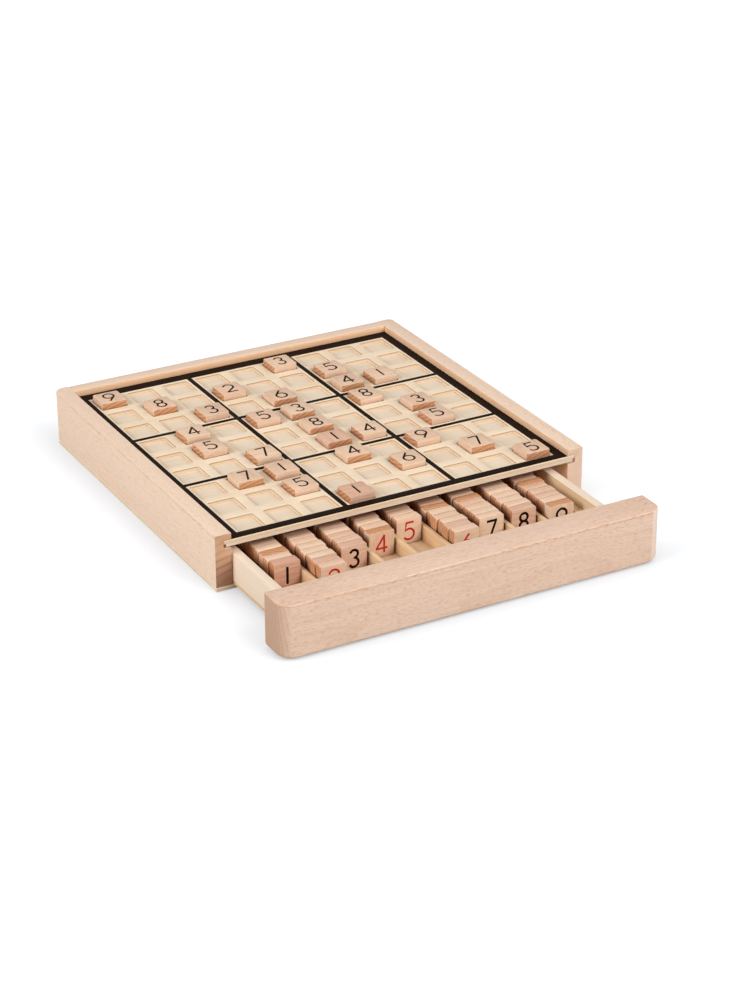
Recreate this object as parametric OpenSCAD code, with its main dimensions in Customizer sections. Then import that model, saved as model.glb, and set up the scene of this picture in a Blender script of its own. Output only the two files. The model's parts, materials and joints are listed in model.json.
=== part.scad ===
// Sudoku board: a shallow beech box with a recessed board on top, a drawer with nine
// channels under it, and loose number tiles on the board and in the drawer.
// X runs to the right, Y to the back, Z up. The origin is the centre of the case's base.

/* [Tiles] */
// Side of a square number tile
tile = 15.5; // [13:0.1:19]
// Thickness of a tile
tile_t = 5.7; // [4:0.1:8]
// Radius of a tile's four corners
tile_corner_r = 1.6; // [0.6:0.1:3]
// Tiles made for each number
tiles_per_number = 18; // [9:1:24]

/* [Board] */
// Spare room of a tile in its recess
recess_play = 0.5; // [0.2:0.1:1.2]
// Wood between two recesses
rib = 6; // [4:0.1:9]
// Radius of a recess's four corners
recess_corner_r = 1.2; // [0.4:0.1:2]
// Thickness of the upper sheet, which is the recesses' depth
grid_t = 2; // [1:0.1:3.5]
// Thickness of the lower sheet
base_t = 1.6; // [1:0.1:4]
// Board beside the outer recesses, left and right
side_margin = 7.1; // [3:0.1:15]
// Board in front of the front recesses
front_margin = 6.35; // [3:0.05:15]
// Board behind the back recesses
back_margin = 9.25; // [3:0.05:15]
// Depth to which the board sits in the grooves of the walls
groove_depth = 4.2; // [2:0.1:6]
// How much less the lower sheet sits in the grooves at the sides
base_inset = 1.2; // [0:0.1:2]
// Room under the board's edge in its groove
groove_gap = 1.2; // [0.1:0.1:2]
// Room beyond the board's edge in its groove
groove_end_gap = 0.2; // [0.1:0.1:1]
// Height of the rim above the board
rim = 3.7; // [1:0.1:6]

/* [Case] */
// Thickness of the left and right sides
side_t = 9.4; // [7.5:0.1:14]
// Thickness of the back wall
back_t = 8.9; // [7.5:0.1:14]
// Thickness of the bottom panel
bottom_t = 2.5; // [1.5:0.1:5]
// Radius of the upright corner at the back left
left_corner_r = 6.5; // [2:0.5:7]
// Radius of the upright corner at the back right
right_corner_r = 3; // [2:0.5:7]

/* [Drawer] */
// How far the drawer stands open
drawer_open = 63.5; // [1:0.25:150]
// Spare room beside the drawer, on each side
drawer_play = 3.5; // [0.5:0.1:5]
// Gap to the wall that the drawer has slid against
wall_gap = 0.6; // [0.2:0.1:1]
// Gap under the drawer
floor_gap = 0.2; // [0.1:0.1:0.5]
// Gap behind the closed drawer
back_gap = 2; // [0.5:0.5:10]
// Clear height above the tiles in the drawer
head_room = 4.6; // [2:0.1:12]
// Thickness of the drawer's bottom
drawer_bottom_t = 2.3; // [1.5:0.1:4]
// Thickness of the drawer's sides and back
drawer_side_t = 5.3; // [3:0.1:8]
// Height of the drawer's sides and back
drawer_side_h = 15.5; // [8:0.5:20]
// Thickness of the drawer front
front_t = 20.2; // [12:0.1:26]
// Radius of the front's two upright edges
front_edge_r = 8; // [3:0.5:11]
// Gap from the front's top to the level of the rim, and from its bottom to the ground
front_gap = 1.2; // [0.3:0.1:3]
// How far the front reaches past the case's width, on each side
front_overhang = 0.3; // [0:0.1:3]
// How far to the left of the drawer's middle the front is fixed
front_shift = 1.2; // [0:0.1:2]
// Depth to which the drawer's sides and bottom are let into the front
front_housing = 5; // [2:0.5:8]

/* [Channels] */
// Spare room of a tile across its channel
channel_play = 1.9; // [0.8:0.1:4]
// Thickness of a divider
divider_t = 2.6; // [1.5:0.1:4]
// Height of the dividers and edge strips
divider_h = 8.8; // [4:0.1:15]
// Least width of the edge strips beside the outer channels
edge_strip_min = 3; // [2:0.1:8]
// Finger room in front of a full row of tiles
finger_room = 18.75; // [5:0.25:30]
// Gap between two tiles in a row
row_gap = 0.2; // [0.1:0.05:0.6]

/* [Hidden] */
$fn = 64;
cells = 9;
// Tiles on the board, each as row from the back, column from the left, and number
puzzle = [
    [1, 1, 9], [1, 6, 3],
    [2, 2, 8], [2, 4, 2], [2, 7, 5],
    [3, 3, 3], [3, 5, 6], [3, 7, 4], [3, 8, 1],
    [4, 2, 4], [4, 4, 5], [4, 5, 3], [4, 7, 8],
    [5, 2, 5], [5, 5, 8], [5, 8, 3],
    [6, 3, 7], [6, 5, 1], [6, 6, 4], [6, 8, 5],
    [7, 2, 7], [7, 3, 1], [7, 5, 4], [7, 7, 9],
    [8, 3, 5], [8, 6, 6], [8, 8, 7],
    [9, 4, 1], [9, 9, 5]
];
// How far each row of tiles has slipped back along its channel, in tile thicknesses
row_slip = [-0.25, 0.35, -0.25, 0.95, 0.1, -0.4, -0.25, -0.35, -0.25];
// How far a cut reaches past the wood that it opens
cut_over = 1;

// Board grid
recess = tile + recess_play;
pitch = recess + rib;
grid_size = (cells - 1) * pitch + recess;

// Channels across the drawer
channel_w = tile + channel_play;
channel_pitch = channel_w + divider_t;
channels_w = cells * channel_pitch - divider_t;

// Case, as wide as the board or the drawer needs
board_need = grid_size + 2 * side_margin;
drawer_need = channels_w + 2 * (edge_strip_min + drawer_side_t + drawer_play);
inner_w = max(board_need, drawer_need);
inner_d = front_margin + grid_size + back_margin;
case_w = inner_w + 2 * side_t;
case_d = inner_d + back_t;
front_y = -case_d / 2;
inner_back_y = front_y + inner_d;

// Heights, from the ground up
drawer_z = bottom_t + floor_gap;
floor_z = drawer_z + drawer_bottom_t;
base_z = floor_z + max(tile, drawer_side_h, divider_h) + head_room;
grid_z = base_z + base_t;
board_z = grid_z + grid_t;
case_h = board_z + rim;

// Groove that holds the board's edge, which is glued to its upper cheek
groove_cut = groove_depth + groove_end_gap;

// Drawer
drawer_w = inner_w - 2 * drawer_play;
drawer_d = inner_d - back_gap;
drawer_x = wall_gap - drawer_play;
front_back_y = front_y - drawer_open;
drawer_back_y = front_back_y + drawer_d;
channel_d = drawer_d - drawer_side_t;
side_in_x = drawer_w / 2 - drawer_side_t;
edge_strip_w = side_in_x - channels_w / 2;
front_h = case_h - 2 * front_gap;
front_w = case_w + 2 * front_overhang;

// Rows of tiles in the drawer, shorter by the tiles that lie on the board
row_pitch = tile_t + row_gap;
function used(number) = len([for (t = puzzle) if (t[2] == number) t]);
function row_start(number) = finger_room + used(number) * row_pitch + row_slip[number - 1] * tile_t;
function row_room(number) = floor((channel_d - row_start(number)) / row_pitch);
function row_count(number) = min(tiles_per_number - used(number), row_room(number));

// Small uneven places, as loose tiles have, as a share of the room that they have
row_share = 0.25;
recess_share = 0.2;
function uneven(a, b) = sin(157 * a + 83 * b);
function cell_x(column) = (column - (cells + 1) / 2) * pitch;
function cell_y(row) = front_y + front_margin + recess / 2 + (cells - row) * pitch;
function channel_x(number) = drawer_x + (number - (cells + 1) / 2) * channel_pitch;
function tile_name(t) = str("tile_", t[2], "_row", t[0], "_col", t[1]);

beech = "#E2C3A6";
beech_tile = "#DDB48D";
plywood = "#E9D3B1";

// What is cut from a square corner at the origin to round it, for a corner facing +X and +Y
module corner_cut(r) {
    difference() {
        translate([-r, -r]) square(2 * r);
        translate([-r, -r]) circle(r);
        translate([-2 * r, -2 * r]) square([2 * r, r]);
        translate([-2 * r, -2 * r]) square([r, 3 * r]);
    }
}

// A centred square with round corners
module round_square(side, r) {
    straight = side - 2 * r;
    square([side, straight], center = true);
    square([straight, side], center = true);
    for (x = [-1, 1], y = [-1, 1])
        translate([x * straight / 2, y * straight / 2]) circle(r);
}

// A square tile lying on its back, centred on its base
module tile_solid() {
    linear_extrude(tile_t) round_square(tile, tile_corner_r);
}

// The right side of the case, which the left side mirrors; r is the radius of its corner
module case_side(r) {
    difference() {
        translate([inner_w / 2, front_y, bottom_t]) linear_extrude(case_h - bottom_t) {
            difference() {
                square([side_t, case_d]);
                translate([side_t, case_d]) corner_cut(r);
            }
        }
        translate([inner_w / 2 - cut_over, front_y - cut_over, base_z - groove_gap])
            cube([groove_cut + cut_over, inner_d + groove_cut + cut_over, board_z - base_z + groove_gap]);
    }
}

module left_side() {
    color(beech) mirror([1, 0, 0]) case_side(left_corner_r);
}

module right_side() {
    color(beech) case_side(right_corner_r);
}

module back_wall() {
    color(beech) difference() {
        translate([-inner_w / 2, inner_back_y, bottom_t]) cube([inner_w, back_t, case_h - bottom_t]);
        translate([-inner_w / 2 - cut_over, inner_back_y - cut_over, base_z - groove_gap])
            cube([inner_w + 2 * cut_over, groove_cut + cut_over, board_z - base_z + groove_gap]);
    }
}

module bottom_panel() {
    color(plywood) translate([0, front_y, 0]) linear_extrude(bottom_t) {
        difference() {
            translate([-case_w / 2, 0]) square([case_w, case_d]);
            translate([case_w / 2, case_d]) corner_cut(right_corner_r);
            mirror([1, 0]) translate([case_w / 2, case_d]) corner_cut(left_corner_r);
        }
    }
}

// Outline of a board sheet, let into the grooves on three sides, less deeply by inset left and right
module board_outline(inset = 0) {
    half = inner_w / 2 + groove_depth - inset;
    translate([-half, front_y]) square([2 * half, inner_d + groove_depth]);
}

module board_base() {
    color(plywood) translate([0, 0, base_z]) linear_extrude(base_t) board_outline(base_inset);
}

module board_grid() {
    color(plywood) translate([0, 0, grid_z]) linear_extrude(grid_t) {
        difference() {
            board_outline();
            for (row = [1 : cells], column = [1 : cells])
                translate([cell_x(column), cell_y(row)]) round_square(recess, recess_corner_r);
        }
    }
}

module drawer_front() {
    color(beech) difference() {
        translate([drawer_x - front_shift, front_back_y, front_gap]) linear_extrude(front_h) {
            difference() {
                translate([-front_w / 2, -front_t]) square([front_w, front_t]);
                for (m = [0, 1])
                    mirror([m, 0]) translate([front_w / 2, -front_t]) mirror([0, 1]) corner_cut(front_edge_r);
            }
        }
        drawer_left_side();
        drawer_right_side();
        drawer_bottom();
    }
}

// The right side of the drawer, which the left side mirrors
module drawer_side() {
    translate([side_in_x, front_back_y - front_housing, floor_z])
        cube([drawer_side_t, drawer_d + front_housing, drawer_side_h]);
}

module drawer_left_side() {
    color(beech) translate([drawer_x, 0, 0]) mirror([1, 0, 0]) drawer_side();
}

module drawer_right_side() {
    color(beech) translate([drawer_x, 0, 0]) drawer_side();
}

module drawer_back() {
    color(beech) translate([drawer_x - side_in_x, drawer_back_y - drawer_side_t, floor_z])
        cube([2 * side_in_x, drawer_side_t, drawer_side_h]);
}

module drawer_bottom() {
    color(plywood) translate([drawer_x - drawer_w / 2, front_back_y - front_housing, drawer_z])
        cube([drawer_w, drawer_d + front_housing, drawer_bottom_t]);
}

// A strip as long as the channels, from x to x + w
module channel_strip(x, w) {
    color(plywood) translate([x, front_back_y, floor_z]) cube([w, channel_d, divider_h]);
}

module left_edge_strip() {
    channel_strip(drawer_x - side_in_x, edge_strip_w);
}

module right_edge_strip() {
    channel_strip(drawer_x + channels_w / 2, edge_strip_w);
}

module divider(number) {
    channel_strip(channel_x(number) + channel_w / 2, divider_t);
}

// Tiles of one number, standing on edge and facing the front
module tile_row(number) {
    color(beech_tile) for (i = [0 : row_count(number) - 1])
        translate([
            channel_x(number) + row_share * channel_play * uneven(i, number),
            front_back_y + row_start(number) + i * row_pitch,
            floor_z + tile / 2
        ]) rotate([90, 0, 180]) tile_solid();
}

// One tile in its recess, a little off its middle
module board_tile(t) {
    turn = asin(recess_share * recess_play / (tile / 2)) * uneven(t[0], t[1]);
    color(beech_tile) translate([
        cell_x(t[1]) + recess_share * recess_play * uneven(t[1], t[2]),
        cell_y(t[0]) + recess_share * recess_play * uneven(t[2], t[0]),
        grid_z
    ]) rotate([0, 0, turn]) tile_solid();
}

left_side();
right_side();
back_wall();
bottom_panel();
board_base();
board_grid();
drawer_front();
drawer_left_side();
drawer_right_side();
drawer_back();
drawer_bottom();
left_edge_strip();
right_edge_strip();
for (d = [1 : cells - 1]) divider(d);
for (n = [1 : cells]) tile_row(n);
for (t = puzzle) board_tile(t);
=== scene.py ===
import json
import math
import random

import bpy
from mathutils import Matrix, Quaternion, Vector

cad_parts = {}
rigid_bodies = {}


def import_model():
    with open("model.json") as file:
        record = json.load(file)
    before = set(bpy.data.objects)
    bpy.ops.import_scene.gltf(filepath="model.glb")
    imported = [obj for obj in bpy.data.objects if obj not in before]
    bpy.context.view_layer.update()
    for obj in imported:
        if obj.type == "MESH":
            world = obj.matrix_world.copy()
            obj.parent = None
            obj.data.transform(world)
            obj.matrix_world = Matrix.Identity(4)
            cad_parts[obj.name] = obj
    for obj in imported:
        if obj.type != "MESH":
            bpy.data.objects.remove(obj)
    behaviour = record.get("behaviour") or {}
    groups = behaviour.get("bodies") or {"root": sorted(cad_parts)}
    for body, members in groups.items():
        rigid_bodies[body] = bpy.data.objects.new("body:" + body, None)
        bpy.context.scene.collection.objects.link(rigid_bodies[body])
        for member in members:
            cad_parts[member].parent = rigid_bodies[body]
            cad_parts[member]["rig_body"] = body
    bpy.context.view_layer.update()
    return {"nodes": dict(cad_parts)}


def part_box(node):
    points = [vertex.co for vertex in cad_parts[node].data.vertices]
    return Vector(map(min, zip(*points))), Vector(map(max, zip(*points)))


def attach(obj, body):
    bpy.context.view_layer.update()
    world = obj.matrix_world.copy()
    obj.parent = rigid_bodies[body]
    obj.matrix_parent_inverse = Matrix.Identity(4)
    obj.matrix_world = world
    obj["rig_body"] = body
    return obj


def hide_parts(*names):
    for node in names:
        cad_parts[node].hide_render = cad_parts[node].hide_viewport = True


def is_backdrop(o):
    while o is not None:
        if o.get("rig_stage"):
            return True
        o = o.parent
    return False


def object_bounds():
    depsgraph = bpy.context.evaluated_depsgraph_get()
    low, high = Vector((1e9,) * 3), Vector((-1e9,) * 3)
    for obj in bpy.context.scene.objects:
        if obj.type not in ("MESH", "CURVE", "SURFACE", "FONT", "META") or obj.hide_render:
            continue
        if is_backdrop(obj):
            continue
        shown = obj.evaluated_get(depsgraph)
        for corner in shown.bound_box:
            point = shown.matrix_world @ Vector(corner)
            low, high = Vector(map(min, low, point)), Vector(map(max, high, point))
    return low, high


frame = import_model()

# Camera: in front of the board, to its left and above it. Its place, turn and lens were worked out from
# the straight edges of the case in a picture of 732 by 1000, whose long side the sensor's width spans.
camera_place = Vector((-0.60178, -1.16673, 0.62231))
camera_azimuth = math.radians(-28.635)
camera_elevation = math.radians(26.067)
camera_roll = math.radians(0.261)
to_camera = Vector((
    math.sin(camera_azimuth) * math.cos(camera_elevation),
    -math.cos(camera_azimuth) * math.cos(camera_elevation),
    math.sin(camera_elevation),
))
bpy.ops.object.select_all(action="DESELECT")
bpy.ops.object.camera_add(location=camera_place)
camera = bpy.context.object
camera.name = "camera"
camera.rotation_mode = "QUATERNION"
camera.rotation_quaternion = (-to_camera).to_track_quat("-Z", "Y") @ Quaternion((0, 0, 1), -camera_roll)
camera.data.sensor_width = 36
camera.data.lens = 91.46
camera.data.clip_end = 20
bpy.context.scene.camera = camera
bpy.context.scene.view_settings.view_transform = "Standard"


# Studio: a white table in a dim room, lit by soft boxes high on the left and in front and a weak one on the
# right, so that all outer faces are evenly bright and only hollows are dark. The camera sees a white room.
def srgb(colour):
    """The linear value of an sRGB hex colour."""
    parts = [int(colour[i:i + 2], 16) / 255 for i in (1, 3, 5)]
    return (*[p / 12.92 if p <= 0.04045 else ((p + 0.055) / 1.055) ** 2.4 for p in parts], 1.0)


def add(tree, kind, inputs, **settings):
    """Adds a node with its settings, sets or links its inputs by name or number, and gives its outputs."""
    made = tree.nodes.new(kind)
    for name, value in settings.items():
        setattr(made, name, value)
    for name, value in inputs.items():
        if isinstance(value, bpy.types.NodeSocket):
            tree.links.new(value, made.inputs[name])
        else:
            made.inputs[name].default_value = value
    return made.outputs


room_level = 0.08
room = bpy.data.worlds.new("pale_studio_room")
bpy.context.scene.world = room
room.use_nodes = True
tree = room.node_tree
tree.nodes.clear()
rays = add(tree, "ShaderNodeLightPath", {})
seen = add(tree, "ShaderNodeMath", {
    0: rays["Is Camera Ray"], 1: rays["Is Glossy Ray"],
}, operation="MAXIMUM")[0]
seen = add(tree, "ShaderNodeMath", {0: seen, 1: rays["Is Transmission Ray"]}, operation="MAXIMUM")[0]
level = add(tree, "ShaderNodeMapRange", {"Value": seen, "To Min": room_level, "To Max": 1.0})[0]
light = add(tree, "ShaderNodeBackground", {"Color": srgb("#FFFFFF"), "Strength": level})[0]
add(tree, "ShaderNodeOutputWorld", {"Surface": light})

aim = Vector((0, -0.04, 0.01))
softboxes = {
    "left_softbox": ((-2.7, -0.1, 1.65), 1.65, 79.0),
    "front_softbox": ((0.9, -2.8, 2.45), 2.0, 94.0),
    "right_softbox": ((2.0, -1.2, 1.2), 1.2, 17.0),
}
for name, (place, size, power) in softboxes.items():
    bpy.ops.object.light_add(type="AREA", location=place)
    softbox = bpy.context.object
    softbox.name = name
    softbox.data.shape = "SQUARE"
    softbox.data.size = size
    softbox.data.energy = power
    softbox.rotation_mode = "QUATERNION"
    softbox.rotation_quaternion = (aim - Vector(place)).to_track_quat("-Z", "Y")

table_size = 8
shadow_reach = 0.026
white_start = 0.4
white_end = 1.2
bpy.ops.mesh.primitive_plane_add(size=table_size, location=(0, 0, 0))
table = bpy.context.object
table.name = "white_table"
# Matt laminate: it keeps the soft shadow close to the board and turns plain white further off, where the
# camera sees it glow. Near the board the glow is cut by ambient occlusion: a painted contact shadow on top
# of the real one, bluish grey where the camera sees the laminate's base colour
white = bpy.data.materials.new("white_table_laminate")
white.use_nodes = True
tree = white.node_tree
tree.nodes.clear()
rays = add(tree, "ShaderNodeLightPath", {})
# Painted contact shadow: the camera's glow drops where ambient occlusion finds the board and drawer near
painted_shade_openness = add(tree, "ShaderNodeAmbientOcclusion", {"Distance": shadow_reach}, samples=12)["AO"]
glow_and_painted_shadow = add(tree, "ShaderNodeMapRange", {"Value": painted_shade_openness, "To Min": 0.34, "To Max": 0.78})[0]
place = add(tree, "ShaderNodeTexCoord", {})["Object"]
away = add(tree, "ShaderNodeVectorMath", {0: place}, operation="LENGTH")["Value"]
far = add(tree, "ShaderNodeMapRange", {
    "Value": away, "From Min": white_start, "From Max": white_end, "To Max": 0.6,
})[0]
glow_and_painted_shadow = add(tree, "ShaderNodeMath", {0: glow_and_painted_shadow, 1: far}, operation="ADD")[0]
glow_and_painted_shadow = add(tree, "ShaderNodeMath", {0: rays["Is Camera Ray"], 1: glow_and_painted_shadow}, operation="MULTIPLY")[0]
shown = add(tree, "ShaderNodeMix", {
    0: rays["Is Camera Ray"], 6: srgb("#CCCCCC"), 7: srgb("#9A9DA2"),
}, data_type="RGBA")[2]
laminate = add(tree, "ShaderNodeBsdfPrincipled", {
    "Base Color": shown,
    "Roughness": 0.7,
    "Specular IOR Level": 0.0,
    "Emission Color": srgb("#FFFFFF"),
    "Emission Strength": glow_and_painted_shadow,
})[0]
add(tree, "ShaderNodeOutputMaterial", {"Surface": laminate})
table.data.materials.append(white)
table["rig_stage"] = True


# Case sides: two planed beech boards that run the full depth, with the grain along them. The top edges are
# eased with sandpaper, the front ends are plain saw cuts, and a groove inside each holds the board's edge.
near = 1e-5
merge_reach = 1e-6
flat_turn = math.radians(1)
sharp = math.radians(40)
smooth = math.radians(35)


def softened(name, radius, share=None, split_y=None, segments=2):
    """A copy of a CAD node that stands for it, merged from its triangles and with its sharp edges eased.
    share gives each edge's part of the radius from its middle, and split_y parts the edges there first."""
    node = frame["nodes"][name]
    piece = bpy.data.objects.new(name + "_wood", node.data.copy())
    bpy.context.scene.collection.objects.link(piece)
    piece.data.materials.clear()
    bpy.ops.object.select_all(action="DESELECT")
    bpy.context.view_layer.objects.active = piece
    piece.select_set(True)
    bpy.ops.mesh.customdata_custom_splitnormals_clear()
    bpy.ops.object.mode_set(mode="EDIT")
    bpy.ops.mesh.select_all(action="SELECT")
    bpy.ops.mesh.remove_doubles(threshold=merge_reach)
    bpy.ops.mesh.dissolve_limited(angle_limit=flat_turn)
    if split_y is not None:
        bpy.ops.mesh.select_all(action="SELECT")
        bpy.ops.mesh.bisect(plane_co=(0, split_y, 0), plane_no=(0, 1, 0))
    bpy.ops.object.mode_set(mode="OBJECT")

    mesh = piece.data
    beside = {}
    for face in mesh.polygons:
        for key in face.edge_keys:
            beside.setdefault(key, []).append(face.normal)
    weights = mesh.attributes.new("bevel_weight_edge", "FLOAT", "EDGE")
    for weight, edge in zip(weights.data, mesh.edges):
        faces = beside[edge.key]
        if len(faces) == 2 and faces[0].angle(faces[1]) > sharp:
            a, b = (mesh.vertices[i].co for i in edge.vertices)
            weight.value = share((a + b) / 2) if share else 1.0
    eased = piece.modifiers.new("eased", "BEVEL")
    eased.width = radius
    eased.segments = segments
    eased.limit_method = "WEIGHT"
    bpy.ops.object.modifier_apply(modifier=eased.name)
    mesh.attributes.remove(mesh.attributes["bevel_weight_edge"])
    bpy.ops.object.shade_smooth_by_angle(angle=smooth)
    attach(piece, node["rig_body"])
    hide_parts(name)
    return piece


def beech(
    name, grain, shift, pith, ring_width, tones, end_tones, fibre_share=0.3, ring_share=0.3,
    fleck_share=0.15, edge_z=None, edge_share=1.0, painted_highlight_x=None, painted_foot_shade=0.0,
):
    """Planed and sanded beech with its grain along x or y. shift moves the pattern and pith is the middle of
    the growth rings across it, in mm; tones are early and late wood, end_tones the same at the cut ends.
    edge_z is the height of an edge that sanding has browned, and painted_highlight_x where a painted
    highlight starts on a rounded end, in mm; painted_foot_shade is how dark the painted shade at the end's
    foot is."""
    fibre_width = 1.1
    fleck_width = 0.65
    wander_size = 26
    wander_reach = 6.0
    cloud_size = 45
    turn, axis = {"x": ((0, 0, 0), (1, 0, 0)), "y": ((0, 0, math.radians(-90)), (0, 1, 0))}[grain]
    made = bpy.data.materials.new(name)
    made.use_nodes = True
    tree = made.node_tree
    tree.nodes.clear()
    place = add(tree, "ShaderNodeTexCoord", {})
    lie = add(tree, "ShaderNodeMapping", {
        "Vector": place["Object"], "Location": shift, "Rotation": turn, "Scale": (1000, 1000, 1000),
    })[0]

    # Fibres: long streaks of tone, drawn far broader than single fibres so that they show
    long = add(tree, "ShaderNodeVectorMath", {0: lie, 1: (0.035, 1, 1)}, operation="MULTIPLY")[0]
    fibre = add(tree, "ShaderNodeTexNoise", {"Vector": long, "Scale": 1 / fibre_width, "Detail": 3.0})["Fac"]
    # Growth rings about the pith, which wander a little along the board
    drift = add(tree, "ShaderNodeVectorMath", {0: lie, 1: (0.2, 1, 1)}, operation="MULTIPLY")[0]
    wander = add(tree, "ShaderNodeTexNoise", {
        "Vector": drift, "Scale": 1 / wander_size, "Detail": 2.0,
    })["Fac"]
    across = add(tree, "ShaderNodeVectorMath", {0: lie, 1: (0, 1, 1)}, operation="MULTIPLY")[0]
    radius = add(tree, "ShaderNodeVectorMath", {0: across, 1: pith}, operation="DISTANCE")["Value"]
    radius = add(tree, "ShaderNodeMath", {
        0: wander, 1: wander_reach, 2: radius,
    }, operation="MULTIPLY_ADD")[0]
    ring = add(tree, "ShaderNodeMath", {0: radius, 1: 1 / ring_width}, operation="MULTIPLY")[0]
    ring = add(tree, "ShaderNodeMath", {0: ring}, operation="FRACT")[0]
    late = add(tree, "ShaderNodeMapRange", {
        "Value": ring, "From Min": 0.45,
    }, interpolation_type="SMOOTHSTEP")[0]
    # Flecks: the short brown dashes of the rays, drawn broader than they are so that they show
    dash = add(tree, "ShaderNodeVectorMath", {0: lie, 1: (0.21, 1, 1)}, operation="MULTIPLY")[0]
    fleck = add(tree, "ShaderNodeTexNoise", {"Vector": dash, "Scale": 1 / fleck_width, "Detail": 2.0})["Fac"]
    fleck = add(tree, "ShaderNodeMapRange", {"Value": fleck, "From Min": 0.5, "From Max": 0.7})[0]
    # Broad changes of tone from one part of the board to another
    cloud = add(tree, "ShaderNodeTexNoise", {"Vector": drift, "Scale": 1 / cloud_size, "Detail": 1.0})["Fac"]
    # End grain takes up more of the finish and is darker
    facing = add(tree, "ShaderNodeVectorMath", {
        0: place["Normal"], 1: axis,
    }, operation="DOT_PRODUCT")["Value"]
    facing = add(tree, "ShaderNodeMath", {0: facing}, operation="ABSOLUTE")[0]
    cut = add(tree, "ShaderNodeMapRange", {"Value": facing, "From Min": 0.25, "From Max": 1.0})[0]

    early_wood, late_wood = (srgb(t) for t in tones)
    early_end, late_end = (srgb(t) for t in end_tones)
    share = add(tree, "ShaderNodeMapRange", {
        "Value": fibre, "From Min": 0.3, "From Max": 0.75, "To Max": fibre_share,
    })[0]
    tone = add(tree, "ShaderNodeMix", {0: share, 6: early_wood, 7: late_wood}, data_type="RGBA")[2]
    share = add(tree, "ShaderNodeMath", {0: late, 1: ring_share}, operation="MULTIPLY")[0]
    tone = add(tree, "ShaderNodeMix", {0: share, 6: tone, 7: late_wood}, data_type="RGBA")[2]
    share = add(tree, "ShaderNodeMapRange", {
        "Value": cloud, "From Min": 0.35, "From Max": 0.7, "To Max": 0.3,
    })[0]
    tone = add(tree, "ShaderNodeMix", {0: share, 6: tone, 7: srgb("#E8C3AB")}, data_type="RGBA")[2]
    share = add(tree, "ShaderNodeMath", {0: fleck, 1: fleck_share}, operation="MULTIPLY")[0]
    tone = add(tree, "ShaderNodeMix", {0: share, 6: tone, 7: srgb("#BE8C6A")}, data_type="RGBA")[2]
    if edge_z is not None:
        # A line along one edge that sanding has browned, strongest on the flecks
        edge_half = 0.9
        edge_core = 0.2
        edge_wander = 2.0
        height = add(tree, "ShaderNodeSeparateXYZ", {0: place["Object"]})["Z"]
        away = add(tree, "ShaderNodeMath", {0: height, 1: 1000, 2: -edge_z}, operation="MULTIPLY_ADD")[0]
        away = add(tree, "ShaderNodeMath", {0: wander, 1: edge_wander, 2: away}, operation="MULTIPLY_ADD")[0]
        away = add(tree, "ShaderNodeMath", {0: away}, operation="ABSOLUTE")[0]
        line = add(tree, "ShaderNodeMapRange", {
            "Value": away, "From Min": edge_half, "From Max": edge_core,
        })[0]
        worn = add(tree, "ShaderNodeMapRange", {"Value": fleck, "To Min": 0.3, "To Max": 0.85})[0]
        line = add(tree, "ShaderNodeMath", {0: line, 1: worn}, operation="MULTIPLY")[0]
        line = add(tree, "ShaderNodeMath", {0: line, 1: edge_share}, operation="MULTIPLY")[0]
        tone = add(tree, "ShaderNodeMix", {0: line, 6: tone, 7: srgb("#B57A50")}, data_type="RGBA")[2]
    if painted_foot_shade:
        # Painted shade: the rings of the end stand out most near its foot, darker there
        rings_faint = 0.024
        rings_clear = 0.014
        height = add(tree, "ShaderNodeSeparateXYZ", {0: place["Object"]})["Z"]
        clear = add(tree, "ShaderNodeMapRange", {
            "Value": height, "From Min": rings_faint, "From Max": rings_clear, "To Min": 0.2, "To Max": 1.0,
        })[0]
        late = add(tree, "ShaderNodeMath", {0: late, 1: clear}, operation="MULTIPLY")[0]
    grown = add(tree, "ShaderNodeMix", {0: late, 6: early_end, 7: late_end}, data_type="RGBA")[2]
    if painted_foot_shade:
        # Painted shade: the end darkens towards its foot
        foot_shade_top = 0.021
        foot_shade_full = 0.007
        foot = add(tree, "ShaderNodeMapRange", {
            "Value": height, "From Min": foot_shade_top, "From Max": foot_shade_full, "To Max": painted_foot_shade,
        })[0]
        grown = add(tree, "ShaderNodeMix", {0: foot, 6: grown, 7: late_end}, data_type="RGBA")[2]
    share = add(tree, "ShaderNodeMath", {0: cut, 1: 0.85}, operation="MULTIPLY")[0]
    tone = add(tree, "ShaderNodeMix", {0: share, 6: tone, 7: grown}, data_type="RGBA")[2]
    if painted_highlight_x is not None:
        # Painted highlight: the rounding at the end is paler where it faces ahead
        painted_highlight_fade = 0.0015
        along = add(tree, "ShaderNodeSeparateXYZ", {0: place["Object"]})["X"]
        share = add(tree, "ShaderNodeMapRange", {
            "Value": along, "From Min": painted_highlight_x / 1000, "From Max": painted_highlight_x / 1000 + painted_highlight_fade, "To Max": 0.5,
        })[0]
        ahead = add(tree, "ShaderNodeSeparateXYZ", {0: place["Normal"]})["Y"]
        ahead = add(tree, "ShaderNodeMapRange", {"Value": ahead, "From Min": -0.2, "From Max": -0.5})[0]
        share = add(tree, "ShaderNodeMath", {0: share, 1: ahead}, operation="MULTIPLY")[0]
        tone = add(tree, "ShaderNodeMix", {0: share, 6: tone, 7: srgb("#F7E4D8")}, data_type="RGBA")[2]
    rough = add(tree, "ShaderNodeMapRange", {"Value": fibre, "To Min": 0.5, "To Max": 0.62})[0]
    bump = add(tree, "ShaderNodeBump", {"Height": fibre, "Strength": 0.25, "Distance": 0.0001})[0]
    wood = add(tree, "ShaderNodeBsdfPrincipled", {
        "Base Color": tone, "Roughness": rough, "Specular IOR Level": 0.4, "Normal": bump,
    })[0]
    add(tree, "ShaderNodeOutputMaterial", {"Surface": wood})
    return made


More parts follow.
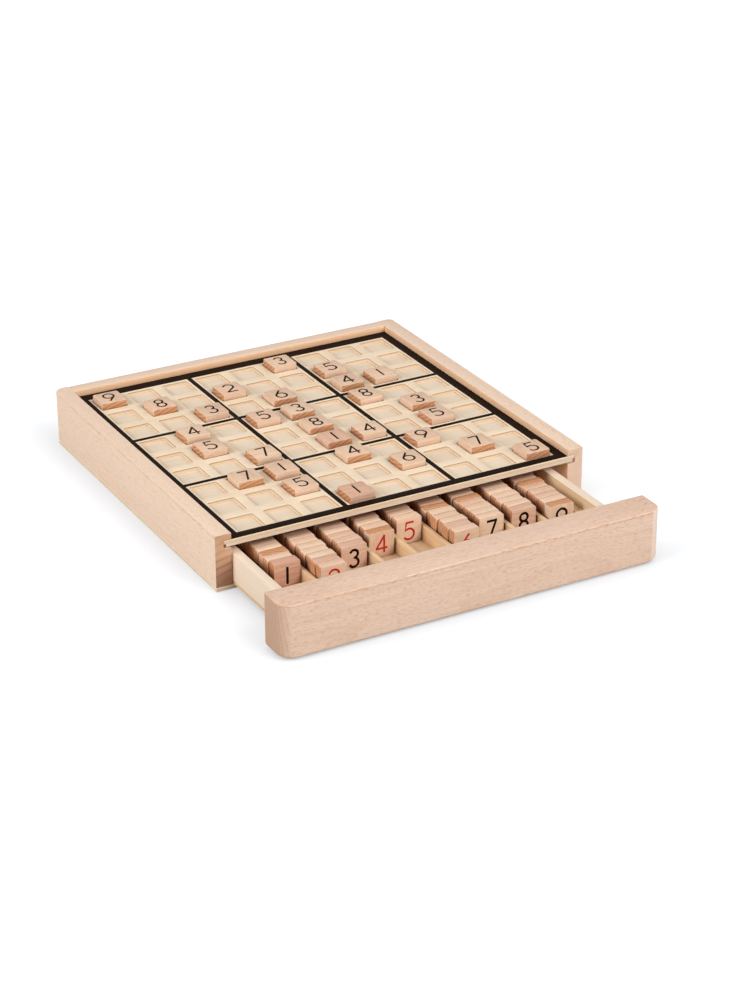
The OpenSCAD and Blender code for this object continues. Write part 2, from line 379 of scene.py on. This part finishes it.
edge_ease = 0.0008
joint_depth = 0.006
side_tones = ("#EDD3BC", "#DDB79A")
painted_bounce_tones = ("#F0C6A0", "#E0AC80")
back_low, back_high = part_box("back_wall")
sides = {
    "left_side": dict(
        shift=(40, 10, 0), pith=(0, 79, -130), ring_width=4.5, end_tones=("#CA9872", "#824C2B"), painted_foot_shade=0.9,
    ),
    "right_side": dict(
        shift=(310, 90, 40), pith=(0, 20, 400), ring_width=1.3, end_tones=("#EACAB1", "#DFB798"),
    ),
}
for side, wood in sides.items():
    low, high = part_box(side)
    inner = min((low.x, high.x), key=abs)

    def side_share(spot):
        """Top edges are eased most, the groove's least, and glued edges not at all."""
        glued = spot.z < low.z + near or (spot.y > back_low.y - near and abs(spot.x - inner) < joint_depth)
        if glued and spot.y <= back_high.y - near:
            return 0.0
        if spot.z > high.z - near:
            if spot.y < low.y + near:
                return 0.4
            return 0.6 if abs(spot.x - inner) < near else 1.0
        return 0.35 if spot.y < low.y + near and abs(spot.x - inner) > joint_depth else 0.12

    piece = softened(side, edge_ease, side_share, split_y=back_low.y)
    piece.data.materials.append(beech(
        side + "_sanded_beech", "y", tones=side_tones, fibre_share=0.2, ring_share=0.1, fleck_share=0.25,
        edge_z=32.5, edge_share=0.4, **wood,
    ))
    piece.data.materials.append(beech(side + "_planed_beech", "y", tones=painted_bounce_tones, **wood))
    # Inner faces: warmer, more orange tones, painted bounce light from the wood around them
    for face in piece.data.polygons:
        if face.normal.x * inner < -0.1:
            face.material_index = 1


# Back wall: the same beech, cut to fit between the sides and glued to them, with the grain from left to
# right. Its top edges are eased with sandpaper, and a groove inside holds the board's back edge.
def back_share(spot):
    """Only the long top edges are eased; the ends are glued to the sides."""
    if spot.z < back_low.z + near or abs(spot.x) > back_high.x - near:
        return 0.0
    if spot.z > back_high.z - near:
        return 0.6 if spot.y < back_low.y + near else 1.0
    return 0.12


piece = softened("back_wall", edge_ease, back_share)
back_tones = {"back_wall_sanded_beech": side_tones, "back_wall_planed_beech": ("#FCD0A6", "#EEB486")}
for name, tones in back_tones.items():
    piece.data.materials.append(beech(
        name, "x", (520, 30, 70), (0, -70, 60), 3.4, tones, ("#CE9D7B", "#A9714B"),
    ))
# The inner face: warmer, more orange tones, painted bounce light from the wood around it
for face in piece.data.polygons:
    if face.normal.y < -0.5:
        face.material_index = 1


# Bottom panel: three-ply basswood, glued under the walls with its edges flush. The plies show at its edge,
# the middle one darker because it shows its end grain.
def basswood(
    name, grain, shift, low, high, tones=("#F5E2C9", "#E8CEAA"), ply_share=0.35, glue=0.0, burnt=None,
):
    """Three-ply basswood from low to high, in metres: pale and nearly even on its face, striped at its edge.
    ply_share and glue are how dark the middle ply and the glue line at its foot are, and burnt where along
    y the holes start, whose upper edges the saw has browned."""
    fibre_width = 1.4
    cloud_size = 14
    glue_line = 0.00022
    middle_half = 0.17
    turn = {"x": (0, 0, 0), "y": (0, 0, math.radians(-90))}[grain]
    made = bpy.data.materials.new(name)
    made.use_nodes = True
    tree = made.node_tree
    tree.nodes.clear()
    place = add(tree, "ShaderNodeTexCoord", {})
    lie = add(tree, "ShaderNodeMapping", {
        "Vector": place["Object"], "Location": shift, "Rotation": turn, "Scale": (1000, 1000, 1000),
    })[0]
    # Fibres: long faint streaks, drawn far broader than single fibres so that they show
    long = add(tree, "ShaderNodeVectorMath", {0: lie, 1: (0.03, 1, 1)}, operation="MULTIPLY")[0]
    fibre = add(tree, "ShaderNodeTexNoise", {"Vector": long, "Scale": 1 / fibre_width, "Detail": 3.0})["Fac"]
    wide = add(tree, "ShaderNodeVectorMath", {0: lie, 1: (0.08, 1, 1)}, operation="MULTIPLY")[0]
    cloud = add(tree, "ShaderNodeTexNoise", {"Vector": wide, "Scale": 1 / cloud_size, "Detail": 2.0})["Fac"]
    # The middle ply and the glue line, which show only on upright faces
    height = add(tree, "ShaderNodeSeparateXYZ", {0: place["Object"]})["Z"]
    layer = add(tree, "ShaderNodeMapRange", {"Value": height, "From Min": low, "From Max": high})[0]
    middle = add(tree, "ShaderNodeMath", {0: layer, 1: 0.5, 2: middle_half}, operation="COMPARE")[0]
    foot = add(tree, "ShaderNodeMath", {0: height, 1: low + glue_line}, operation="LESS_THAN")[0]
    up = add(tree, "ShaderNodeSeparateXYZ", {0: place["Normal"]})["Z"]
    up = add(tree, "ShaderNodeMath", {0: up}, operation="ABSOLUTE")[0]
    edge = add(tree, "ShaderNodeMapRange", {"Value": up, "From Min": 0.5, "From Max": 0.2})[0]

    pale, deep = (srgb(t) for t in tones)
    share = add(tree, "ShaderNodeMapRange", {
        "Value": fibre, "From Min": 0.35, "From Max": 0.75, "To Max": 0.5,
    })[0]
    tone = add(tree, "ShaderNodeMix", {0: share, 6: pale, 7: deep}, data_type="RGBA")[2]
    share = add(tree, "ShaderNodeMapRange", {
        "Value": cloud, "From Min": 0.4, "From Max": 0.7, "To Max": 0.4,
    })[0]
    tone = add(tree, "ShaderNodeMix", {0: share, 6: tone, 7: deep}, data_type="RGBA")[2]
    if burnt is not None:
        # The saw has browned the upper edges of the holes
        burn_height = 0.001
        along = add(tree, "ShaderNodeSeparateXYZ", {0: place["Object"]})["Y"]
        holes = add(tree, "ShaderNodeMath", {0: along, 1: burnt}, operation="GREATER_THAN")[0]
        share = add(tree, "ShaderNodeMapRange", {
            "Value": height, "From Min": high - burn_height, "From Max": high,
        })[0]
        share = add(tree, "ShaderNodeMath", {0: share, 1: holes}, operation="MULTIPLY")[0]
        share = add(tree, "ShaderNodeMath", {0: share, 1: edge}, operation="MULTIPLY")[0]
        tone = add(tree, "ShaderNodeMix", {0: share, 6: tone, 7: srgb("#84552F")}, data_type="RGBA")[2]
    for line, strength in ((middle, ply_share), (foot, glue)):
        share = add(tree, "ShaderNodeMath", {0: line, 1: edge}, operation="MULTIPLY")[0]
        share = add(tree, "ShaderNodeMath", {0: share, 1: strength}, operation="MULTIPLY")[0]
        tone = add(tree, "ShaderNodeMix", {0: share, 6: tone, 7: srgb("#C2935F")}, data_type="RGBA")[2]
    bump = add(tree, "ShaderNodeBump", {"Height": fibre, "Strength": 0.2, "Distance": 0.0001})[0]
    wood = add(tree, "ShaderNodeBsdfPrincipled", {
        "Base Color": tone, "Roughness": 0.6, "Specular IOR Level": 0.2, "Normal": bump,
    })[0]
    add(tree, "ShaderNodeOutputMaterial", {"Surface": wood})
    return made


panel_ease = 0.0003
low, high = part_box("bottom_panel")
piece = softened("bottom_panel", panel_ease, lambda spot: 1.0 if spot.z < low.z + near else 0.0)
piece.data.materials.append(basswood(
    "bottom_panel_basswood_ply", "x", (0, 0, 0), low.z, high.z, tones=("#F1E2CC", "#E6CFAE"),
))

# Board, lower sheet: thin basswood ply, glued under the upper sheet. Its face is the floor of the recesses,
# a little duller than the upper sheet because it was never sanded after gluing.
low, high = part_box("board_base")
floor_ply = basswood(
    "board_base_basswood_ply", "x", (60, 200, 0), low.z, high.z, ("#ECDBC5", "#DFC7AA"), ply_share=0.12,
)
frame["nodes"]["board_base"].data.materials.clear()
frame["nodes"]["board_base"].data.materials.append(floor_ply)

# Board, upper sheet: basswood ply with nine by nine square holes that make the recesses, and black lines
# printed on it that frame the board and part it into nine blocks. Its edges sit in the case's grooves.
cells = 9
recess = 0.016
pitch = 0.022
recess_corner = 0.0012
front_margin = 0.00635
line_width = 0.003
frame_side = 0.0059
frame_back = 0.00735
ink_gap = 0.0004
grid_ease = 0.00022
low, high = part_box("board_grid")
middle = Vector((0, low.y + front_margin + recess / 2 + (cells - 1) / 2 * pitch, high.z))
frame_x = back_high.x - frame_side
frame_y = back_low.y - frame_back
front_y = middle.y - (cells - 1) / 2 * pitch - recess / 2 - ink_gap
bpy.ops.object.select_all(action="DESELECT")
bpy.ops.mesh.primitive_plane_add(size=1, location=((low.x + high.x) / 2, (low.y + high.y) / 2, high.z))
grid = bpy.context.object
grid.name = "board_grid_ply"
grid.scale = (high.x - low.x, high.y - low.y, 1)
bpy.ops.object.transform_apply(location=True, rotation=True, scale=True)
bpy.ops.object.mode_set(mode="EDIT")
bpy.ops.mesh.select_mode(type="FACE")
recess_cuts = [(i - (cells - 1) / 2) * pitch + s * recess / 2 for i in range(cells) for s in (-1, 1)]
line_cuts = [b * 1.5 * pitch + s * line_width / 2 for b in (-1, 1) for s in (-1, 1)]
cuts = [((middle.x + c, 0, 0), (1, 0, 0)) for c in recess_cuts + line_cuts]
cuts += [((0, middle.y + c, 0), (0, 1, 0)) for c in recess_cuts + line_cuts]
cuts += [((frame_x, 0, 0), (1, 0, 0)), ((-frame_x, 0, 0), (1, 0, 0))]
cuts += [((0, frame_y, 0), (0, 1, 0)), ((0, front_y, 0), (0, 1, 0))]
for point, normal in cuts:
    bpy.ops.mesh.select_all(action="SELECT")
    bpy.ops.mesh.bisect(plane_co=point, plane_no=normal)
bpy.ops.mesh.select_all(action="DESELECT")
bpy.ops.object.mode_set(mode="OBJECT")


def cell_spot(point):
    """How far a point of the board lies from the middle of its cell in x and y, or None beside the cells."""
    spots = [(point[k] - middle[k]) / pitch for k in (0, 1)]
    if max(abs(s) for s in spots) > cells / 2:
        return None
    return [abs(s - round(s)) * pitch for s in spots]


for face in grid.data.polygons:
    spot = cell_spot(face.center)
    face.select = spot is not None and max(spot) < recess / 2
bpy.ops.object.mode_set(mode="EDIT")
bpy.ops.mesh.delete(type="FACE")
bpy.ops.object.mode_set(mode="OBJECT")
thick = grid.modifiers.new("thick", "SOLIDIFY")
thick.thickness = high.z - low.z
thick.offset = -1
bpy.ops.object.modifier_apply(modifier=thick.name)
bpy.ops.object.mode_set(mode="EDIT")
bpy.ops.mesh.select_mode(type="EDGE")
bpy.ops.mesh.select_all(action="DESELECT")
bpy.ops.object.mode_set(mode="OBJECT")
for edge in grid.data.edges:
    a, b = (grid.data.vertices[i].co for i in edge.vertices)
    spot = cell_spot(a)
    upright = abs(a.z - b.z) > near
    edge.select = upright and spot is not None and max(abs(s - recess / 2) for s in spot) < near
bpy.ops.object.mode_set(mode="EDIT")
bpy.ops.mesh.bevel(offset=recess_corner, offset_type="OFFSET", segments=3, affect="EDGES")
bpy.ops.object.mode_set(mode="OBJECT")
eased = grid.modifiers.new("eased", "BEVEL")
eased.width = grid_ease
eased.segments = 2
eased.limit_method = "ANGLE"
eased.angle_limit = sharp
bpy.ops.object.modifier_apply(modifier=eased.name)
bpy.ops.object.shade_smooth_by_angle(angle=smooth)

grid.data.materials.append(basswood(
    "board_grid_basswood_ply", "x", (0, 70, 30), low.z, high.z, ply_share=0.28, glue=0.6, burnt=front_y,
))
# Screen-print ink: a thin matt film, nearly black, through which the wood's grain still shows a little
ink_streak = 1.2
ink = bpy.data.materials.new("black_screen_print_ink")
ink.use_nodes = True
tree = ink.node_tree
tree.nodes.clear()
place = add(tree, "ShaderNodeTexCoord", {})
lie = add(tree, "ShaderNodeMapping", {"Vector": place["Object"], "Scale": (40, 1000, 1000)})[0]
fibre = add(tree, "ShaderNodeTexNoise", {"Vector": lie, "Scale": 1 / ink_streak, "Detail": 2.0})["Fac"]
tone = add(tree, "ShaderNodeMix", {0: fibre, 6: srgb("#100703"), 7: srgb("#211309")}, data_type="RGBA")[2]
film = add(tree, "ShaderNodeBsdfPrincipled", {
    "Base Color": tone, "Roughness": 0.6, "Specular IOR Level": 0.04,
})[0]
add(tree, "ShaderNodeOutputMaterial", {"Surface": film})
grid.data.materials.append(ink)
for face in grid.data.polygons:
    x, y, z = face.center
    framed = abs(x) > frame_x or y < front_y or y > frame_y
    parted = any(abs(abs(c) - 1.5 * pitch) < line_width / 2 for c in (x - middle.x, y - middle.y))
    if z > high.z - near and (framed or parted):
        face.material_index = 1
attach(grid, "case")
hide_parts("board_grid")

# Drawer front: one thick beech board with the grain from left to right. Its upright edges are rounded over
# and the others eased; the drawer's sides and bottom are let into its back.
front_low, front_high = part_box("drawer_front")
front_ease = 0.003
front_round = 0.008
housing = 0.005
end_strip = 0.004
# Painted highlight on the rounding at the right end, starting this far from the end
painted_highlight_round = 0.0072


def front_share(spot):
    """The lower edges and the back's upright ones are eased most, and the housings' not at all."""
    from_end = min(spot.x - front_low.x, front_high.x - spot.x)
    inside = from_end > end_strip and spot.y > front_high.y - housing - near
    if inside and front_low.z + near < spot.z < front_high.z - near:
        return 0.0
    end = max(0.0, 1 - from_end / front_round)
    if spot.z > front_high.z - near:
        return 0.3 - 0.1 * end
    if spot.z < front_low.z + near:
        return 0.4 + 0.6 * end
    return 1.0


piece = softened("drawer_front", front_ease, front_share, segments=4)
piece.data.materials.append(beech(
    "drawer_front_sanded_beech", "x", (0, 12, 5), (0, -95, 10), 1.7, ("#EACFBA", "#D8AF93"),
    ("#BD987D", "#A98266"), fibre_share=0.5, fleck_share=0.42, edge_z=31.3, edge_share=0.75,
    painted_highlight_x=(front_high.x - painted_highlight_round) * 1000,
))

# Drawer sides and back: thin strips of basswood with the grain along them, glued into a frame behind the
# front. Their outer faces and top edges are sanded, and the inner faces are darker and warmer: painted
# shade.
frame_ease = 0.0004
for name, grain, shift in (
    ("drawer_left_side", "y", (0, 300, 0)),
    ("drawer_right_side", "y", (90, 340, 20)),
    ("drawer_back", "x", (20, 400, 0)),
):
    low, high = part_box(name)
    piece = softened(name, frame_ease, lambda spot: 1.0 if spot.z > high.z - near else 0.0)
    piece.data.materials.append(basswood(
        name + "_basswood", grain, shift, low.z, high.z, ("#EDDAC6", "#E2C9AE"), ply_share=0.0,
    ))
    piece.data.materials.append(basswood(
        name + "_bare_basswood", grain, shift, low.z, high.z, ("#E4C8A4", "#D2AB80"), ply_share=0.0,
    ))
    inward = Vector((0, -1, 0)) if name == "drawer_back" else Vector((-math.copysign(1, low.x), 0, 0))
    for face in piece.data.polygons:
        if face.normal.dot(inward) > 0.5:
            face.material_index = 1

# Drawer bottom: three-ply basswood glued under the whole frame and let into the front. Its face is the floor
# of the channels, and its striped edge shows along the drawer's foot.
bottom_ease = 0.0002
low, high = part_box("drawer_bottom")
piece = softened("drawer_bottom", bottom_ease, lambda spot: 1.0 if spot.z < low.z + near else 0.0)
piece.data.materials.append(basswood(
    "drawer_bottom_basswood_ply", "y", (0, 500, 0), low.z, high.z, tones=("#E6C9A5", "#D5B084"),
))

# Dividers and edge strips: thin sawn strips of basswood with the grain along them, glued on edge to the
# drawer's bottom. They make a channel for each number, and their top edges are eased a little.
strip_ease = 0.0003
for name in [f"divider_{i}" for i in range(1, cells)] + ["left_edge_strip", "right_edge_strip"]:
    low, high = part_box(name)
    piece = softened(name, strip_ease, lambda spot: 1.0 if spot.z > high.z - near else 0.0)
    piece.data.materials.append(basswood(
        name + "_basswood", "y", (0, 600, low.x * 9000), low.z, high.z, ("#E2C39C", "#CFA679"),
        ply_share=0.0,
    ))


# Number tiles: small beech blocks, tumbled so that all edges are soft, with one number printed on the face.
# Each comes from another part of the plank, so its tone, grain and growth rings are its own.
tile_ease = 0.0005
strokes = {"fine": 0.0012, "bold": 0.0015}
ink_height = 0.00003
numeral_height = 0.0099
drawn_height = 8.8


def arc(x, y, r, start, stop):
    """Points on an arc, with a point about every 20 degrees."""
    steps = max(2, round(abs(stop - start) / 20))
    angles = [math.radians(start + (stop - start) * i / steps) for i in range(steps + 1)]
    return [(x + r * math.cos(a), y + r * math.sin(a)) for a in angles]


# The middle lines of the strokes, drawn 8.8 high about the middle of the tile
six = [arc(0, -1.65, 2.75, 0, 360), [(-2.15, 0.06), (1.3, 4.4)]]
numerals = {
    1: [[(0, -4.4), (0, 4.4)]],
    2: [arc(0, 1.75, 2.65, 165, -45) + [(-2.75, -4.4)], [(-3.0, -4.4), (2.85, -4.4)]],
    3: [arc(-0.1, 2.35, 2.05, 160, -90) + arc(-0.1, -2.05, 2.35, 90, -160)[1:]],
    4: [[(1.35, -4.4), (1.35, 4.9)], [(1.35, 4.4), (-2.9, -1.9)], [(-3.1, -1.9), (3.0, -1.9)]],
    5: [[(-1.95, 4.4), (2.4, 4.4)], [(-1.5, 4.4)] + arc(-0.15, -1.6, 2.8, 135, -150)],
    6: six,
    7: [[(-2.6, 4.4), (2.95, 4.4)], [(2.5, 4.4), (-0.9, -4.9)]],
    8: [arc(0, 2.3, 2.1, -90, 270), arc(0, -2.1, 2.3, 90, 450)],
    9: [[(-x, -y) for x, y in line] for line in six],
}
printed = {}
for number, weight in [(n, w) for n in numerals for w in strokes]:
    curve = bpy.data.curves.new(f"numeral_{number}_{weight}", "CURVE")
    curve.dimensions = "3D"
    curve.twist_mode = "Z_UP"
    curve.bevel_depth = strokes[weight] / 2
    curve.bevel_resolution = 0
    curve.use_fill_caps = True
    for line in numerals[number]:
        closed = (Vector(line[0]) - Vector(line[-1])).length < near
        points = line[:-1] if closed else line
        spline = curve.splines.new("POLY")
        spline.points.add(len(points) - 1)
        spline.use_cyclic_u = closed
        for point, (x, y) in zip(spline.points, points):
            point.co = (x * numeral_height / drawn_height, y * numeral_height / drawn_height, 0, 1)
    numeral = bpy.data.objects.new(curve.name, curve)
    bpy.context.scene.collection.objects.link(numeral)
    bpy.ops.object.select_all(action="DESELECT")
    bpy.context.view_layer.objects.active = numeral
    numeral.select_set(True)
    bpy.ops.object.convert(target="MESH")
    numeral.data.transform(Matrix.Diagonal((1, 1, ink_height / (strokes[weight] / 2), 1)))
    printed[number, weight] = numeral.data
    bpy.data.objects.remove(numeral)

# Tumbled beech: matt and unfinished, with streaks and flecks drawn broader than they are so that they show,
# darker end grain with its rings, and painted shade: a deep red-brown from ambient occlusion in the gaps
tile_wood = bpy.data.materials.new("tumbled_beech_tile")
tile_wood.use_nodes = True
tree = tile_wood.node_tree
tree.nodes.clear()
fibre_width = 0.9
fleck_width = 0.7
ring_width = 2.2
ring_wander = 0.8
tile_pith = (0, 30, 55)
painted_shade_reach = 0.008
lie = add(tree, "ShaderNodeAttribute", {}, attribute_name="plank")["Vector"]
cut = add(tree, "ShaderNodeAttribute", {}, attribute_name="end_grain")["Fac"]
tint = add(tree, "ShaderNodeAttribute", {}, attribute_name="tone")["Fac"]
long = add(tree, "ShaderNodeVectorMath", {0: lie, 1: (0.05, 1, 1)}, operation="MULTIPLY")[0]
fibre = add(tree, "ShaderNodeTexNoise", {"Vector": long, "Scale": 1 / fibre_width, "Detail": 3.0})["Fac"]
dash = add(tree, "ShaderNodeVectorMath", {0: lie, 1: (0.25, 1, 1)}, operation="MULTIPLY")[0]
fleck = add(tree, "ShaderNodeTexNoise", {"Vector": dash, "Scale": 1 / fleck_width, "Detail": 1.0})["Fac"]
fleck = add(tree, "ShaderNodeMapRange", {"Value": fleck, "From Min": 0.58, "From Max": 0.74})[0]
across = add(tree, "ShaderNodeVectorMath", {0: lie, 1: (0, 1, 1)}, operation="MULTIPLY")[0]
radius = add(tree, "ShaderNodeVectorMath", {0: across, 1: tile_pith}, operation="DISTANCE")["Value"]
radius = add(tree, "ShaderNodeMath", {
    0: fibre, 1: ring_wander, 2: radius,
}, operation="MULTIPLY_ADD")[0]
ring = add(tree, "ShaderNodeMath", {0: radius, 1: 1 / ring_width}, operation="MULTIPLY")[0]
ring = add(tree, "ShaderNodeMath", {0: ring}, operation="FRACT")[0]
late = add(tree, "ShaderNodeMapRange", {"Value": ring, "From Min": 0.4}, interpolation_type="SMOOTHSTEP")[0]
pale = add(tree, "ShaderNodeMix", {0: tint, 6: srgb("#EED2B9"), 7: srgb("#DEB39D")}, data_type="RGBA")[2]
deep = add(tree, "ShaderNodeMix", {0: tint, 6: srgb("#DBAE88"), 7: srgb("#B97F5E")}, data_type="RGBA")[2]
share = add(tree, "ShaderNodeMapRange", {
    "Value": fibre, "From Min": 0.3, "From Max": 0.75, "To Max": 0.6,
})[0]
shade = add(tree, "ShaderNodeMix", {0: share, 6: pale, 7: deep}, data_type="RGBA")[2]
share = add(tree, "ShaderNodeMath", {0: late, 1: 0.2}, operation="MULTIPLY")[0]
shade = add(tree, "ShaderNodeMix", {0: share, 6: shade, 7: deep}, data_type="RGBA")[2]
share = add(tree, "ShaderNodeMath", {0: fleck, 1: 0.25}, operation="MULTIPLY")[0]
shade = add(tree, "ShaderNodeMix", {0: share, 6: shade, 7: srgb("#B07E58")}, data_type="RGBA")[2]
grown = add(tree, "ShaderNodeMix", {0: late, 6: srgb("#CC9060"), 7: srgb("#A25D32")}, data_type="RGBA")[2]
share = add(tree, "ShaderNodeMath", {0: cut, 1: 0.82}, operation="MULTIPLY")[0]
shade = add(tree, "ShaderNodeMix", {0: share, 6: shade, 7: grown}, data_type="RGBA")[2]
# Painted shade: darkens towards deep red-brown where ambient occlusion finds the gaps between tiles and
# their feet
painted_shade_openness = add(tree, "ShaderNodeAmbientOcclusion", {"Distance": painted_shade_reach}, samples=8)["AO"]
share = add(tree, "ShaderNodeMapRange", {
    "Value": painted_shade_openness, "From Min": 0.65, "From Max": 0.08, "To Max": 0.95,
})[0]
shade = add(tree, "ShaderNodeMix", {0: share, 6: shade, 7: srgb("#521C10")}, data_type="RGBA")[2]
bump = add(tree, "ShaderNodeBump", {"Height": fibre, "Strength": 0.25, "Distance": 0.0001})[0]
wood = add(tree, "ShaderNodeBsdfPrincipled", {
    "Base Color": shade, "Roughness": 0.6, "Specular IOR Level": 0.15, "Normal": bump,
})[0]
add(tree, "ShaderNodeOutputMaterial", {"Surface": wood})

# The same kind of ink in red, which lies as an even matt film
red_ink = bpy.data.materials.new("red_screen_print_ink")
red_ink.use_nodes = True
film = red_ink.node_tree.nodes["Principled BSDF"]
film.inputs["Base Color"].default_value = srgb("#C8201E")
film.inputs["Roughness"].default_value = 0.6
film.inputs["Specular IOR Level"].default_value = 0.2


def season(piece, blocks, which, seed):
    """Gives each tile of a piece its own place in the plank. blocks holds each tile's grain direction, the
    direction across it and its tone from pale to dark; which says what tile a point belongs to."""
    pick = random.Random(seed)
    shifts = [Vector((pick.uniform(0, 900), pick.uniform(-12, 12), pick.uniform(-12, 12))) for _ in blocks]
    mesh = piece.data
    mesh.attributes.new("plank", "FLOAT_VECTOR", "POINT")
    mesh.attributes.new("tone", "FLOAT", "POINT")
    mesh.attributes.new("end_grain", "FLOAT", "FACE")
    plank, tone, end = (mesh.attributes[a].data for a in ("plank", "tone", "end_grain"))
    corner = Vector(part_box(piece.name.removesuffix("_wood"))[0])
    for i, vertex in enumerate(mesh.vertices):
        grain, over, shade = blocks[which(vertex.co)]
        spot = (vertex.co - corner) * 1000
        lie = Vector((spot.dot(grain), spot.dot(over), spot.dot(grain.cross(over))))
        plank[i].vector = lie + shifts[which(vertex.co)]
        tone[i].value = shade
    for i, face in enumerate(mesh.polygons):
        end[i].value = 1.0 if abs(face.normal.dot(blocks[which(face.center)][0])) > 0.7 else 0.0


def print_number(piece, number, weight, place, colour):
    """Joins a printed number to a tile, in fine or bold strokes; place is the matrix that puts the number on
    the tile's face."""
    copy = bpy.data.objects.new("print", printed[number, weight].copy())
    bpy.context.scene.collection.objects.link(copy)
    copy.data.transform(place)
    copy.data.materials.clear()
    copy.data.materials.append(colour)
    bpy.ops.object.select_all(action="DESELECT")
    copy.select_set(True)
    piece.select_set(True)
    bpy.context.view_layer.objects.active = piece
    bpy.ops.object.join()


# Two tiles are of darker wood. About two in three lie with their grain from left to right, but one shows its
# end grain in front
darker = {"tile_1_row9_col4": 0.85, "tile_1_row6_col5": 0.7}
endways = "tile_4_row7_col5"
sideways_share = 0.65
pick = random.Random(11)
for name in sorted(n for n in frame["nodes"] if n.startswith("tile_") and "row_" not in n):
    piece = softened(name, tile_ease)
    piece.data.materials.append(tile_wood)
    low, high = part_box(name)
    ends = [[piece.data.vertices[i].co for i in edge.vertices] for edge in piece.data.edges]
    level_edges = [b - a for a, b in ends if abs(a.z - b.z) < near]
    run = max(level_edges, key=lambda span: span.length)
    turn = math.atan2(run.y, run.x)
    turn -= round(turn / (math.pi / 2)) * math.pi / 2
    x_axis = Vector((math.cos(turn), math.sin(turn), 0))
    y_axis = Vector((-math.sin(turn), math.cos(turn), 0))
    sideways = pick.random() < sideways_share and name != endways
    grain = (x_axis, y_axis) if sideways else (y_axis, x_axis)
    tone = darker.get(name, pick.uniform(0, 0.3))
    season(piece, [(*grain, tone)], lambda point: 0, name)
    number = int(name.split("_")[1])
    centre = Matrix.Translation(((low.x + high.x) / 2, (low.y + high.y) / 2, high.z))
    print_number(piece, number, "fine", centre @ Matrix.Rotation(turn, 4, "Z"), ink)

# Rows of tiles: the spare tiles stand on edge in the channels, one number to a channel, facing the front.
# The numbers on the foremost tiles are printed in bold black or in red, and two of these tiles stand out,
# one darker and one paler.
red_numbers = {2, 4, 5, 6}
first_tones = {1: 1.0, 5: 0.1}
flat_share = 0.9
row_ease = 0.00045
step = 0.0059
stand = Matrix.Rotation(math.radians(90), 4, "X")
for number in range(1, cells + 1):
    name = f"tile_row_{number}"
    piece = softened(name, row_ease)
    piece.data.materials.append(tile_wood)
    low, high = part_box(name)
    count = round((high.y - low.y) / step)
    flat = (Vector((1, 0, 0)), Vector((0, 0, 1)))
    blocks = []
    for _ in range(count):
        grain = flat if pick.random() < flat_share else flat[::-1]
        blocks.append((*grain, pick.uniform(-0.5, 0.75)))
    blocks[0] = (*blocks[0][:2], first_tones.get(number, blocks[0][2]))
    season(piece, blocks, lambda point: min(count - 1, int((point.y - low.y) / step)), name)
    first = [v.co.x for v in piece.data.vertices if v.co.y < low.y + step / 2]
    centre = Matrix.Translation(((min(first) + max(first)) / 2, low.y, (low.z + high.z) / 2))
    weight, colour = ("fine", red_ink) if number in red_numbers else ("bold", ink)
    print_number(piece, number, weight, centre @ stand, colour)

# The box around all shown parts, leaving out the stage
low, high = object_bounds()
